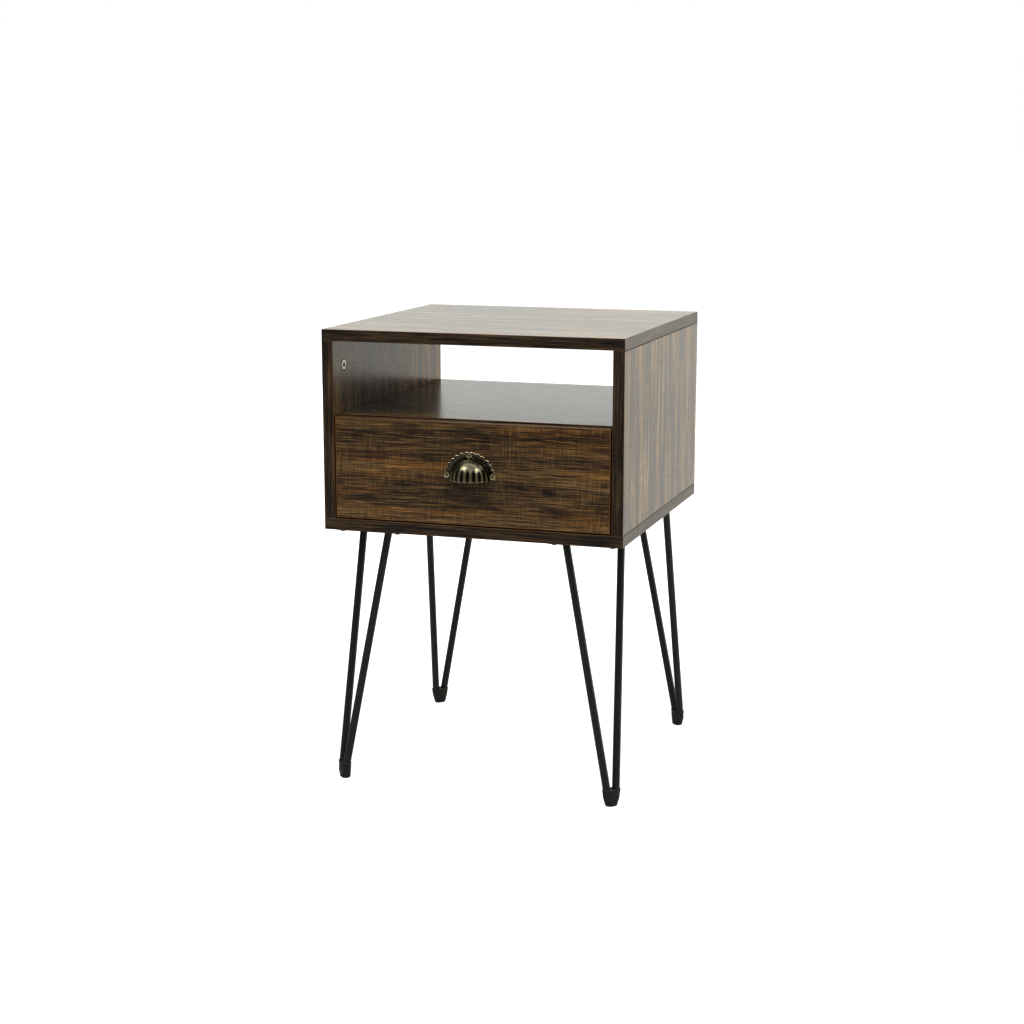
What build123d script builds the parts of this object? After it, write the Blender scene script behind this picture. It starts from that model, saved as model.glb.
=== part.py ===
"""Side table with one drawer.

An open-backed case of laminated board stands on four hairpin legs. The drawer runs under the open
shelf on a pair of roller slides and is pulled by a shell-shaped cup pull.

Millimetres. +Z is up and the front looks towards -Y. The origin is on the floor, under the middle of
the whole table with its pull.
"""

import os
from dataclasses import dataclass
from math import asin, atan2, degrees, sin, sqrt

from build123d import *

# ---------------------------------------------------------------- driving dimensions
# The case
table_width = 400.0
case_depth = 400.0
board = 15.0  # thickness of every laminated board
bay_height = 120.0  # clear height of the drawer bay
cubby_height = 95.0  # clear height of the open shelf
edge_band = 1.0  # thickness of the strip glued round a board
edge_round = 0.4  # rounding of the strip's outer edges

# The legs
leg_height = 340.0
rod = 10.0  # diameter of the steel rod
rod_inset = 23.0  # from the case's edge to the rod's outer end, at the plate
rod_spread = 57.0  # from one end of the rod to the other, across the case
foot_inset = 15.0  # from the case's edge to the middle of the foot
foot_bend = 5.8  # radius of the rod's middle line in the bend at the foot
plate = 2.5  # thickness of the mounting plate
plate_inset = 10.0
plate_arm = 92.0  # how far the plate runs along each edge of the case
plate_strip = 14.0  # width of the plate at each end
plate_corner = 4.0
leg_screw_inset = 8.0  # from the plate's edges to the screws at its ends
leg_screw = 4.0
leg_screw_length = 12.0
foot_height = 22.0
foot_wall = 1.0  # rubber outside the rod
foot_sole = 2.0  # rubber under the rod
foot_face_wall = 1.5  # rubber in front of and behind the rod
foot_taper = 3.6  # how far each end of the sole is in from the bend's width
foot_face_taper = 0.3
foot_sole_round = 0.8

# The drawer
front_gap = 2.0  # round the drawer front
shelf_gap = 1.5  # between the drawer front's back and the shelf's front edge
front_overlap = 2.0  # how far the drawer front's top edge stays under the shelf's top face
rear_clearance = 20.0  # between the drawer box and the back panel
drawer_top_clearance = 18.0
drawer_board = 12.0
drawer_base = 3.0  # hardboard
drawer_base_lift = 10.0  # from the drawer sides' lower edge to the hardboard
groove_depth = 5.0
groove_play = 0.3  # on each side of the hardboard
groove_end_gap = 0.5  # between the hardboard's edge and the bottom of its groove

# The roller slides, one pair. Heights are counted from the case rail's lower face.
slide_width = 12.5  # between the case's side and the drawer's side
slide_sheet = 1.2
slide_lift = 3.0  # from the bottom panel to the case rail
roller = 17.6  # diameter
roller_width = 6.2
roller_rim = 0.8  # rounding of a roller's edges
roller_gap = 0.3  # between a roller and the sheet that it runs on
roller_side_gap = 0.7
rivet = 5.0
rivet_head = 8.0
rivet_head_height = 0.9
rivet_play = 0.05  # between a rivet and its roller, on the radius
roller_inset = 11.0  # from a rail's end to its roller
rail_end_gap = 2.0
rail_flange_gap = 0.5  # between the drawer rail and the case rail's hood
rail_foot_gap = 0.9  # between the case rail's floor and the drawer rail's wall, across the slide
rail_foot_lift = 1.8  # between the same two, in height
rail_hood = 8.0
rail_tread_inset = 1.7  # from the case roller's face to the free edge of the drawer rail's tread
rail_foot_inset = 0.5  # from the drawer side's inner face to the free edge of the rail under it
rail_setback = 1.0  # between the drawer front and the drawer rail
case_rail_screw_shares = (0.12, 0.47, 0.84)  # along the rail's length
drawer_rail_screw_shares = (0.1, 0.5, 0.85)
rivet_head_gap = 0.3
rail_screw = 3.0
rail_screw_head = 6.0
rail_screw_head_height = 1.1
rail_screw_length = 10.0

# The pull
pull_projection = 23.0
pull_radius = 35.0
pull_lobes = 14
pull_lobe_radius = 4.2
pull_flange = 1.6
pull_cup_radius = 26.5
pull_wall = 1.5
pull_drop = 6.0  # from the middle of the drawer front to the cup's mouth
pull_screw_circle = 30.5
pull_screw_angles = (8.5, 90.0, 171.5)
pull_screw = 2.8
pull_screw_head = 6.0
pull_screw_head_height = 1.9
pull_screw_length = 11.0

# Connectors
bolt = 6.0
bolt_head_length = 1.5
bolt_head_space = 3.0  # how far the cam's hollow goes past its middle
bolt_neck = 5.0
bolt_thread = 11.0
bolt_bore = 7.6
drawer_bolt_lift = 14.0  # from the drawer's bottom to its lower bolts
drawer_bolt_drop = 22.0  # from the top edge of the drawer's sides to its upper bolts
bolt_edge_inset = 37.0  # from a board's front or back edge to the first bolt
back_bolt_share = 0.25  # of the bay's height, from its middle to a back panel's bolt
dowel = 8.0
dowel_length = 30.0
dowel_in_face = 10.0  # how far a dowel goes into the face of the board that it meets
dowel_from_bolt = 32.0
hole_play = 0.1  # on the radius of a bore
depth_play = 0.5  # under the end of a bolt or a dowel
cam_slot = 1.8  # width of the screwdriver's cross in a cam or a plug
cam_slot_depth = 1.2
hole_plug = 12.0
hole_plug_depth = 8.0
hole_plug_height = 14.0  # from the shelf to the plug's middle
back_screw = 5.0
back_screw_head = 8.0
back_screw_length = 38.0
back_screw_slot = 1.2

# ---------------------------------------------------------------- places
case_y = pull_projection / 2  # middle of the case, so that the whole table is centred on the origin
front_y = case_y - case_depth / 2
back_y = case_y + case_depth / 2
bottom_z = leg_height
bay_floor_z = bottom_z + board
shelf_under_z = bay_floor_z + bay_height
shelf_z = shelf_under_z + board
top_under_z = shelf_z + cubby_height
half_width = table_width / 2
inner_x = half_width - board  # inner face of a side panel
side_mid_x = half_width - board / 2

drawer_back_y = front_y + board  # where the drawer front's back face is
shelf_front_y = drawer_back_y + shelf_gap
drawer_end_y = back_y - board - rear_clearance
front_half_width = inner_x - front_gap
front_low_z = bay_floor_z + front_gap
front_high_z = shelf_z - front_overlap
rail_z = bay_floor_z + slide_lift
roller_z = rail_z + slide_sheet + roller_gap + roller / 2
tread_z = roller_z + roller / 2 + roller_gap  # underside of the drawer rail's tread
tread_top_z = tread_z + slide_sheet
hood_z = tread_top_z + rail_flange_gap
drawer_side_z = rail_z + slide_sheet + rail_foot_lift + slide_sheet  # lower edge of the drawer's sides
drawer_side_top_z = shelf_under_z - drawer_top_clearance
drawer_half_width = inner_x - slide_width
drawer_inner_x = drawer_half_width - drawer_board
base_z = drawer_side_z + drawer_base_lift
pull_z = (front_low_z + front_high_z) / 2 - pull_drop

# A leg's plate, as distances in from the case's two edges at a corner
plate_end = plate_inset + plate_arm
plate_outline = (
    (plate_inset, plate_inset),
    (plate_end, plate_inset),
    (plate_end, plate_inset + plate_strip),
    (plate_inset + plate_strip, plate_end),
    (plate_inset, plate_end),
)
near_screw = plate_inset + leg_screw_inset
far_screw = plate_end - leg_screw_inset
middle_screw = (near_screw + far_screw) / 2
plate_screws = (
    (near_screw, far_screw),
    (far_screw, near_screw),
    (near_screw, near_screw),
    (middle_screw, middle_screw),
)

SIDES = {"left": -1, "right": 1}
CORNERS = {
    "front_left": (-1, -1),
    "front_right": (1, -1),
    "back_left": (-1, 1),
    "back_right": (1, 1),
}
UP = Vector(0, 0, 1)
DOWN = Vector(0, 0, -1)
FORWARD = Vector(0, -1, 0)
BACKWARD = Vector(0, 1, 0)


os.makedirs("parts", exist_ok=True)


# ---------------------------------------------------------------- helpers
def save(part, name):
    """Labels a finished piece and writes its STEP file."""
    part.label = name
    export_step(part, f"parts/{name}.step")


def corner_point(sx, sy, x, y):
    """A point given as distances in from the case's two edges at one corner."""
    return sx * (half_width - x), case_y + sy * (case_depth / 2 - y)


def block(low, high, mode=Mode.ADD):
    """A box in the part being built, from its lowest to its highest corner."""
    start, finish = Vector(*low), Vector(*high)
    size = finish - start
    with Locations((start + finish) / 2):
        Box(size.X, size.Y, size.Z, mode=mode)


def drill(points, out, radius, depth):
    """Round holes in the part being built, from each point inwards, where out is the way its face looks."""
    with Locations(*[Plane(origin=point, z_dir=out) for point in points]):
        Hole(radius, depth)


def peg(start, along, radius, length):
    """A cylinder in the part being built, from start for a length along a direction."""
    with Locations(Plane(origin=start, z_dir=along)):
        Cylinder(radius, length, align=(Align.CENTER, Align.CENTER, Align.MIN))


def cross_recess(centre, out, span, width, depth):
    """A screwdriver's cross, cut into a face of the part being built."""
    with Locations(Plane(origin=centre, z_dir=out)):
        Box(span, width, 2 * depth, mode=Mode.SUBTRACT)
        Box(width, span, 2 * depth, mode=Mode.SUBTRACT)


def headed_screw(seat, into, shank, length, head, head_height):
    """A screw with a domed cross head: seat is the face under the head, into the way that it is driven."""
    peg(seat, into, shank / 2, length)
    with Locations(Plane(origin=seat, z_dir=-into)):
        Cylinder(head / 2, head_height / 2, align=(Align.CENTER, Align.CENTER, Align.MIN))
        with Locations((0, 0, head_height / 2)):
            Cone(head / 2, head / 3, head_height / 2, align=(Align.CENTER, Align.CENTER, Align.MIN))
    cross_recess(seat - into * head_height, -into, head * 0.5, head * 0.13, head_height * 0.55)


# ---------------------------------------------------------------- connectors
@dataclass
class Cam:
    """The sizes of one kind of cam lock."""

    diameter: float
    depth: float
    reach: float  # from the joint to the cam's middle


@dataclass
class CamJoint:
    """A bolt that stands in the face of one board, and the cam in another board's face that grips its head."""

    at: Vector  # where the boards meet, on the bolt's axis
    into: Vector  # from there into the board that holds the cam
    face: Vector  # the way that the cam looks out
    cover: float  # from the bolt's axis to the cam's face
    cam: Cam

    @property
    def cam_face(self):
        return self.at + self.into * self.cam.reach + self.face * self.cover


@dataclass
class DowelJoint:
    at: Vector
    into: Vector


case_cam = Cam(diameter=15.0, depth=12.0, reach=34.0)
drawer_cam = Cam(diameter=12.0, depth=9.5, reach=24.0)


def cut_bolt_seats(joints):
    """The pilot holes that bolts are driven into."""
    for joint in joints:
        drill([joint.at], joint.into, bolt / 2 + hole_play, bolt_thread + depth_play)


def cut_cam_seats(joints):
    """The cam's bore in the face and the bolt's bore in the edge."""
    for joint in joints:
        drill([joint.cam_face], joint.face, joint.cam.diameter / 2 + hole_play, joint.cam.depth + depth_play)
        drill([joint.at], -joint.into, bolt_bore / 2 + hole_play, joint.cam.reach)


def cut_dowel_seats(joints, into_face):
    """Dowel holes: into_face for the board met on its face, otherwise for the board met on its edge."""
    for joint in joints:
        depth = dowel_in_face if into_face else dowel_length - dowel_in_face
        out = joint.into if into_face else -joint.into
        drill([joint.at], out, dowel / 2 + hole_play, depth + depth_play)


def on_side(joints, sign):
    """The joints on the left (-1) or the right (1) of the table."""
    return [joint for joint in joints if joint.at.X * sign > 0]


drawer_bolt_low_z = base_z + drawer_base + drawer_bolt_lift
drawer_bolt_high_z = drawer_side_top_z - drawer_bolt_drop
bolt_offset = case_depth / 2 - bolt_edge_inset
shelf_mid_y = (shelf_front_y + back_y) / 2
shelf_bolt_offset = (back_y - shelf_front_y) / 2 - bolt_edge_inset - board
back_mid_y = back_y - board / 2

top_cams, bottom_cams, shelf_cams, back_cams, front_cams = [], [], [], [], []
top_dowels, bottom_dowels, shelf_dowels, back_dowels = [], [], [], []
for sign in SIDES.values():
    inward = Vector(-sign, 0, 0)
    for end in (-1, 1):
        bolt_y = case_y + end * bolt_offset
        dowel_y = bolt_y - end * dowel_from_bolt
        top_cams.append(
            CamJoint(Vector(sign * side_mid_x, bolt_y, top_under_z), DOWN, inward, board / 2, case_cam)
        )
        bottom_cams.append(
            CamJoint(Vector(sign * side_mid_x, bolt_y, bay_floor_z), UP, inward, board / 2, case_cam)
        )
        top_dowels.append(DowelJoint(Vector(sign * side_mid_x, dowel_y, top_under_z), DOWN))
        bottom_dowels.append(DowelJoint(Vector(sign * side_mid_x, dowel_y, bay_floor_z), UP))

        shelf_mid_z = shelf_under_z + board / 2
        shelf_bolt_y = shelf_mid_y + end * shelf_bolt_offset
        shelf_cams.append(
            CamJoint(Vector(sign * inner_x, shelf_bolt_y, shelf_mid_z), inward, DOWN, board / 2, case_cam)
        )
        shelf_dowels.append(
            DowelJoint(Vector(sign * inner_x, shelf_bolt_y - end * dowel_from_bolt, shelf_mid_z), inward)
        )
        back_bolt_z = bay_floor_z + bay_height * (1 / 2 + back_bolt_share * end)
        back_cams.append(
            CamJoint(Vector(sign * inner_x, back_mid_y, back_bolt_z), inward, FORWARD, board / 2, case_cam)
        )
        drawer_bolt_z = drawer_bolt_high_z if end > 0 else drawer_bolt_low_z
        drawer_bolt_x = sign * (drawer_half_width - drawer_board / 2)
        front_cams.append(
            CamJoint(
                Vector(drawer_bolt_x, drawer_back_y, drawer_bolt_z), BACKWARD, inward, drawer_board / 2, drawer_cam
            )
        )
    back_dowels.append(DowelJoint(Vector(sign * inner_x, back_mid_y, bay_floor_z + bay_height / 2), inward))


# ---------------------------------------------------------------- boards and their edge strips
leg_screw_places = [corner_point(sx, sy, x, y) for sx, sy in CORNERS.values() for x, y in plate_screws]


def strip(low, high, outer):
    """One strip of edging, with the edges rounded on its outer face: outer is that face's direction."""
    with BuildPart() as one:
        block(low, high)
        fillet(faces().sort_by(Axis((0, 0, 0), outer))[-1].edges(), radius=edge_round)
    return one.part


def edge_strips(low, high, across, along=None):
    """Strips glued round a board whose finished size runs from low to high.

    across and along are two of its directions, as the numbers 0 to 2. The strips on the faces across run
    the full length; those on the faces along fit between them. Without along, only the first two are made.
    """
    strips = []
    for direction in (across, along):
        if direction is None:
            continue
        for way in (-1, 1):
            start, finish = list(low), list(high)
            if direction == along:
                start[across] += edge_band
                finish[across] -= edge_band
            if way < 0:
                finish[direction] = start[direction] + edge_band
            else:
                start[direction] = finish[direction] - edge_band
            outer = [0, 0, 0]
            outer[direction] = way
            strips.append(strip(start, finish, outer))
    return Compound(children=strips)


case_low = (-half_width, front_y)
case_high = (half_width, back_y)

for name, low_z, cams, dowels, looks in (
    ("top", top_under_z, top_cams, top_dowels, DOWN),
    ("bottom", bottom_z, bottom_cams, bottom_dowels, UP),
):
    low = (*case_low, low_z)
    high = (*case_high, low_z + board)
    with BuildPart() as panel:
        block(
            (low[0] + edge_band, low[1] + edge_band, low[2]),
            (high[0] - edge_band, high[1] - edge_band, high[2]),
        )
        cut_bolt_seats(cams)
        cut_dowel_seats(dowels, into_face=True)
        if name == "bottom":
            points = [Vector(x, y, bottom_z) for x, y in leg_screw_places]
            drill(points, DOWN, leg_screw / 2 + hole_play, leg_screw_length - plate + depth_play)
    save(panel.part, f"{name}_panel")
    save(edge_strips(low, high, across=0, along=1), f"{name}_edging")

rail_start_y = drawer_back_y + rail_end_gap
rail_end_y = drawer_end_y + rail_end_gap
rail_length = rail_end_y - rail_start_y
rail_screw_ys = [rail_start_y + share * rail_length for share in case_rail_screw_shares]

for side, sign in SIDES.items():
    inward = Vector(-sign, 0, 0)
    inner, outer = sorted((sign * inner_x, sign * half_width))
    low = (inner, front_y, bay_floor_z)
    high = (outer, back_y, top_under_z)
    with BuildPart() as panel:
        block((low[0], low[1] + edge_band, low[2]), (high[0], high[1] - edge_band, high[2]))
        cut_cam_seats(on_side(top_cams + bottom_cams, sign))
        cut_dowel_seats(on_side(top_dowels + bottom_dowels, sign), into_face=False)
        cut_bolt_seats(on_side(shelf_cams + back_cams, sign))
        cut_dowel_seats(on_side(shelf_dowels + back_dowels, sign), into_face=True)
        plug_point = Vector(sign * inner_x, case_y, shelf_z + hole_plug_height)
        drill([plug_point], inward, hole_plug / 2 + hole_play, hole_plug_depth + depth_play)
        screw_points = [Vector(sign * inner_x, y, roller_z) for y in rail_screw_ys]
        drill(screw_points, inward, rail_screw / 2 + hole_play, rail_screw_length)
    save(panel.part, f"{side}_side_panel")
    save(edge_strips(low, high, across=1), f"{side}_side_edging")

shelf_low = (-inner_x, shelf_front_y, shelf_under_z)
shelf_high = (inner_x, back_y, shelf_z)
with BuildPart() as shelf_panel:
    block(
        (shelf_low[0], shelf_low[1] + edge_band, shelf_low[2]),
        (shelf_high[0], shelf_high[1] - edge_band, shelf_high[2]),
    )
    cut_cam_seats(shelf_cams)
    cut_dowel_seats(shelf_dowels, into_face=False)
save(shelf_panel.part, "shelf_panel")

save(edge_strips(shelf_low, shelf_high, across=1), "shelf_edging")

with BuildPart() as back_panel:
    block((-inner_x, back_y - board, bay_floor_z), (inner_x, back_y, shelf_under_z))
    cut_cam_seats(back_cams)
    cut_dowel_seats(back_dowels, into_face=False)
save(back_panel.part, "back_panel")


# ---------------------------------------------------------------- cam locks, bolts, dowels and plugs
def cam_locks(joints):
    """Turned zinc cams: a hollow for the bolt's head, and a cross in the face for the screwdriver."""
    for joint in joints:
        radius = joint.cam.diameter / 2
        peg(joint.cam_face, -joint.face, radius, joint.cam.depth)
        bolt_line = joint.cam_face - joint.face * joint.cover
        mouth = bolt_line - joint.into * (radius + 1)
        with Locations(Plane(origin=mouth, z_dir=joint.into)):
            Cylinder(
                bolt_bore / 2,
                radius + 1 + bolt_head_space,
                align=(Align.CENTER, Align.CENTER, Align.MIN),
                mode=Mode.SUBTRACT,
            )
        cross_recess(joint.cam_face, joint.face, joint.cam.diameter / 2, cam_slot, cam_slot_depth)


def cam_bolts(joints):
    """Bolts: a threaded end in the board's face, a shank, a neck and the head that the cam grips."""
    for joint in joints:
        shank_end = joint.cam.reach - bolt_neck
        peg(joint.at - joint.into * bolt_thread, joint.into, bolt / 2, bolt_thread + shank_end)
        peg(joint.at + joint.into * shank_end, joint.into, bolt / 3, bolt_neck)
        peg(joint.at + joint.into * joint.cam.reach, joint.into, bolt / 2, bolt_head_length)


with BuildPart() as case_cam_locks:
    cam_locks(top_cams + bottom_cams + shelf_cams + back_cams)
save(case_cam_locks.part, "case_cam_locks")

with BuildPart() as case_cam_bolts:
    cam_bolts(top_cams + bottom_cams + shelf_cams + back_cams)
save(case_cam_bolts.part, "case_cam_bolts")

with BuildPart() as case_dowels:
    for joint in top_dowels + bottom_dowels + shelf_dowels + back_dowels:
        peg(joint.at - joint.into * dowel_in_face, joint.into, dowel / 2, dowel_length)
save(case_dowels.part, "case_dowels")

with BuildPart() as hole_plugs:
    for sign in SIDES.values():
        face = Vector(-sign, 0, 0)
        centre = Vector(sign * inner_x, case_y, shelf_z + hole_plug_height)
        peg(centre, -face, hole_plug / 2, hole_plug_depth)
        cross_recess(centre, face, hole_plug / 2, cam_slot, cam_slot_depth)
save(hole_plugs.part, "side_hole_plugs")


# ---------------------------------------------------------------- hairpin legs
@dataclass
class LegLines:
    """The middle line of one leg's rod."""

    first: Vector  # the rod's upper ends, at the plate's underside
    second: Vector
    corner: Vector  # where its two straight lines would meet
    bend: Vector  # the middle of the bend's circle
    lean: Vector  # from between the upper ends towards the foot

    def centre_at(self, height):
        """The point between the two straight lines at a height."""
        return self.bend + self.lean * ((height - self.bend.Z) / self.lean.Z)

    def spread_at(self, height):
        """How far apart the two straight lines are at a height."""
        share = (height - self.corner.Z) / (self.first.Z - self.corner.Z)
        return (self.second - self.first).length * share


def leg_lines(sx, sy):
    """Lines from the plate that run down past both sides of the bend's circle."""
    plate_under = bottom_z - plate
    outer_end = rod_inset
    inner_end = rod_inset + rod_spread
    first = Vector(*corner_point(sx, sy, outer_end, inner_end), plate_under)
    second = Vector(*corner_point(sx, sy, inner_end, outer_end), plate_under)
    bend = Vector(*corner_point(sx, sy, foot_inset, foot_inset), foot_sole + rod / 2 + foot_bend)
    middle = (first + second) / 2
    drop = (bend - middle).length
    half_span = (second - first).length / 2
    half_angle = atan2(half_span, drop) - asin(foot_bend / sqrt(drop**2 + half_span**2))
    lean = (bend - middle).normalized()
    return LegLines(first, second, bend + lean * (foot_bend / sin(half_angle)), bend, lean)


def bent_rod(sx, sy, diameter):
    """The bent rod of a leg, cut off level under the plate, in the part being built."""
    lines = leg_lines(sx, sy)
    start = lines.first + (lines.first - lines.corner).normalized() * rod
    finish = lines.second + (lines.second - lines.corner).normalized() * rod
    with BuildLine() as path:
        FilletPolyline(start, lines.corner, finish, radius=foot_bend)
    with BuildSketch(Plane(origin=start, z_dir=lines.corner - start)) as section:
        Circle(diameter / 2)
    sweep(section.sketch, path=path.line)
    split(bisect_by=Plane.XY.offset(bottom_z - plate), keep=Keep.BOTTOM)


for corner_name, (sx, sy) in CORNERS.items():
    with BuildPart() as leg_plate:
        with BuildSketch(Plane.XY.offset(bottom_z - plate)):
            with BuildLine():
                Polyline(*[corner_point(sx, sy, x, y) for x, y in plate_outline], close=True)
            make_face()
            fillet(vertices(), radius=plate_corner)
            with Locations(*[corner_point(sx, sy, x, y) for x, y in plate_screws]):
                Circle(leg_screw / 2 + hole_play, mode=Mode.SUBTRACT)
        extrude(amount=plate)
    save(leg_plate.part, f"{corner_name}_leg_plate")

    with BuildPart() as leg_rod:
        bent_rod(sx, sy, rod)
    save(leg_rod.part, f"{corner_name}_leg_rod")

    with BuildPart() as rod_space:
        bent_rod(sx, sy, rod + 2 * hole_play)

    lines = leg_lines(sx, sy)
    across = lines.second - lines.first
    turn = degrees(atan2(across.Y, across.X))
    bend_width = 2 * foot_bend + rod + 2 * foot_wall
    mouth_width = lines.spread_at(foot_height) + rod + 2 * foot_wall
    thickness = rod + 2 * foot_face_wall
    foot_sections = (
        (0.0, bend_width - 2 * foot_taper, thickness - 2 * foot_face_taper),
        (lines.bend.Z, bend_width, thickness),
        (foot_height, mouth_width, thickness),
    )
    with BuildPart() as foot:
        for height, length, width in foot_sections:
            with BuildSketch(Plane(origin=lines.centre_at(height), x_dir=(1, 0, 0), z_dir=(0, 0, 1))):
                SlotOverall(length, width, rotation=turn)
        loft(ruled=True)
        fillet(faces().sort_by(Axis.Z)[0].edges(), radius=foot_sole_round)
        add(rod_space.part, mode=Mode.SUBTRACT)
    save(foot.part, f"{corner_name}_foot")

with BuildPart() as leg_screws:
    for x, y in leg_screw_places:
        seat = Vector(x, y, bottom_z - plate)
        headed_screw(seat, UP, leg_screw, leg_screw_length, 2 * leg_screw, 0.6 * leg_screw)
save(leg_screws.part, "leg_screws")


# ---------------------------------------------------------------- roller slides
def slide_point(sign, across, height):
    """A point in a slide's section: across is counted from the case's side, height from the case rail."""
    return sign * (inner_x - across), rail_z + height


def rail(sign, outline, start_y, end_y):
    """A rail of folded sheet in the part being built, from its section's outline."""
    with BuildSketch(Plane(origin=(0, start_y, 0), x_dir=(1, 0, 0), z_dir=(0, -1, 0))) as section:
        with BuildLine():
            Polyline(*[slide_point(sign, across, height) for across, height in outline], close=True)
        make_face()
    extrude(section.sketch, amount=start_y - end_y)


hood_height = hood_z - rail_z
rail_height = hood_height + slide_sheet
tread_height = tread_z - rail_z
tread_top = tread_height + slide_sheet
drawer_side_height = drawer_side_z - rail_z
drawer_wall = slide_width - slide_sheet  # where the drawer rail's wall starts
case_rail_floor = drawer_wall - rail_foot_gap
case_roller_start = slide_sheet + roller_side_gap
drawer_roller_start = drawer_wall - roller_side_gap
tread_start = case_roller_start + rail_tread_inset
foot_end = slide_width + drawer_board - rail_foot_inset

case_rail_outline = (
    (0, 0),
    (case_rail_floor, 0),
    (case_rail_floor, slide_sheet),
    (slide_sheet, slide_sheet),
    (slide_sheet, hood_height),
    (rail_hood, hood_height),
    (rail_hood, rail_height),
    (0, rail_height),
)
drawer_rail_outline = (
    (tread_start, tread_height),
    (tread_start, tread_top),
    (slide_width, tread_top),
    (slide_width, drawer_side_height),
    (foot_end, drawer_side_height),
    (foot_end, drawer_side_height - slide_sheet),
    (drawer_wall, drawer_side_height - slide_sheet),
    (drawer_wall, tread_height),
)
drawer_rail_start_y = drawer_back_y + rail_setback
drawer_rail_end_y = drawer_end_y
case_roller_y = rail_start_y + roller_inset
drawer_roller_y = drawer_rail_end_y - roller_inset
drawer_rail_length = drawer_rail_end_y - drawer_rail_start_y
drawer_screw_ys = [drawer_rail_start_y + share * drawer_rail_length for share in drawer_rail_screw_shares]


def slide_space(sign, across, y):
    """A point on a roller's axis."""
    x, _ = slide_point(sign, across, 0)
    return Vector(x, y, roller_z)


for side, sign in SIDES.items():
    to_drawer = Vector(-sign, 0, 0)
    to_case = Vector(sign, 0, 0)

    with BuildPart() as case_rail:
        rail(sign, case_rail_outline, rail_start_y, rail_end_y)
        screw_seats = [slide_space(sign, slide_sheet, y) for y in rail_screw_ys]
        drill(screw_seats, to_drawer, rail_screw / 2 + hole_play, slide_sheet)
        drill([slide_space(sign, slide_sheet, case_roller_y)], to_drawer, rivet / 2, slide_sheet)
    save(case_rail.part, f"{side}_case_rail")

    with BuildPart() as drawer_rail:
        rail(sign, drawer_rail_outline, drawer_rail_start_y, drawer_rail_end_y)
        drill([slide_space(sign, drawer_wall, drawer_roller_y)], to_case, rivet / 2, slide_sheet)
        foot_x, foot_z = slide_point(sign, slide_width + drawer_board / 2, drawer_side_height - slide_sheet)
        rail_feet = [Vector(foot_x, y, foot_z) for y in drawer_screw_ys]
        drill(rail_feet, DOWN, rail_screw / 2 + hole_play, slide_sheet)
    save(drawer_rail.part, f"{side}_drawer_rail")

    with BuildPart() as case_roller:
        peg(slide_space(sign, case_roller_start, case_roller_y), to_drawer, roller / 2, roller_width)
        drill(
            [slide_space(sign, case_roller_start, case_roller_y)],
            to_case,
            rivet / 2 + rivet_play,
            roller_width,
        )
        rims = edges().filter_by(GeomType.CIRCLE).group_by(SortBy.RADIUS)[-1]
        fillet(rims, radius=roller_rim)
    save(case_roller.part, f"{side}_case_roller")

    with BuildPart() as drawer_roller:
        peg(slide_space(sign, drawer_roller_start, drawer_roller_y), to_case, roller / 2, roller_width)
        drill(
            [slide_space(sign, drawer_roller_start, drawer_roller_y)],
            to_drawer,
            rivet / 2 + rivet_play,
            roller_width,
        )
        rims = edges().filter_by(GeomType.CIRCLE).group_by(SortBy.RADIUS)[-1]
        fillet(rims, radius=roller_rim)
    save(drawer_roller.part, f"{side}_drawer_roller")


def roller_rivets(along_sign, base_across, y):
    """The rivets of one pair of rollers: along_sign is 1 where they point at the drawer, -1 at the case."""
    shank = slide_sheet + roller_side_gap + roller_width + rivet_head_gap
    for sign in SIDES.values():
        along = Vector(-sign * along_sign, 0, 0)
        base = slide_space(sign, base_across, y)
        peg(base, along, rivet / 2, shank)
        peg(base + along * shank, along, rivet_head / 2, rivet_head_height)


with BuildPart() as case_rivets:
    roller_rivets(1, 0, case_roller_y)
save(case_rivets.part, "case_roller_rivets")

with BuildPart() as drawer_rivets:
    roller_rivets(-1, slide_width, drawer_roller_y)
save(drawer_rivets.part, "drawer_roller_rivets")

with BuildPart() as case_rail_screws:
    for sign in SIDES.values():
        for y in rail_screw_ys:
            headed_screw(
                slide_space(sign, slide_sheet, y),
                Vector(sign, 0, 0),
                rail_screw,
                rail_screw_length,
                rail_screw_head,
                rail_screw_head_height,
            )
save(case_rail_screws.part, "case_rail_screws")

with BuildPart() as drawer_rail_screws:
    for sign in SIDES.values():
        foot_x, foot_z = slide_point(sign, slide_width + drawer_board / 2, drawer_side_height - slide_sheet)
        for y in drawer_screw_ys:
            headed_screw(
                Vector(foot_x, y, foot_z),
                UP,
                rail_screw,
                drawer_base_lift - 1,
                rail_screw_head,
                rail_screw_head_height,
            )
save(drawer_rail_screws.part, "drawer_rail_screws")

# ---------------------------------------------------------------- drawer
front_low = (-front_half_width, front_y, front_low_z)
front_high = (front_half_width, drawer_back_y, front_high_z)
pull_plane = Plane(origin=(0, front_y, pull_z), x_dir=(1, 0, 0), z_dir=(0, -1, 0))
pull_screw_points = [
    Vector(pull_screw_circle, 0, 0).rotate(Axis.Y, -angle) + Vector(0, front_y, pull_z)
    for angle in pull_screw_angles
]
groove = drawer_base + 2 * groove_play
groove_z = base_z - groove_play
base_inset = groove_depth - groove_end_gap
back_screw_zs = (
    base_z + (drawer_side_top_z - base_z) * 0.3,
    base_z + (drawer_side_top_z - base_z) * 0.75,
)
back_centre_y = drawer_end_y - drawer_board / 2

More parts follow.
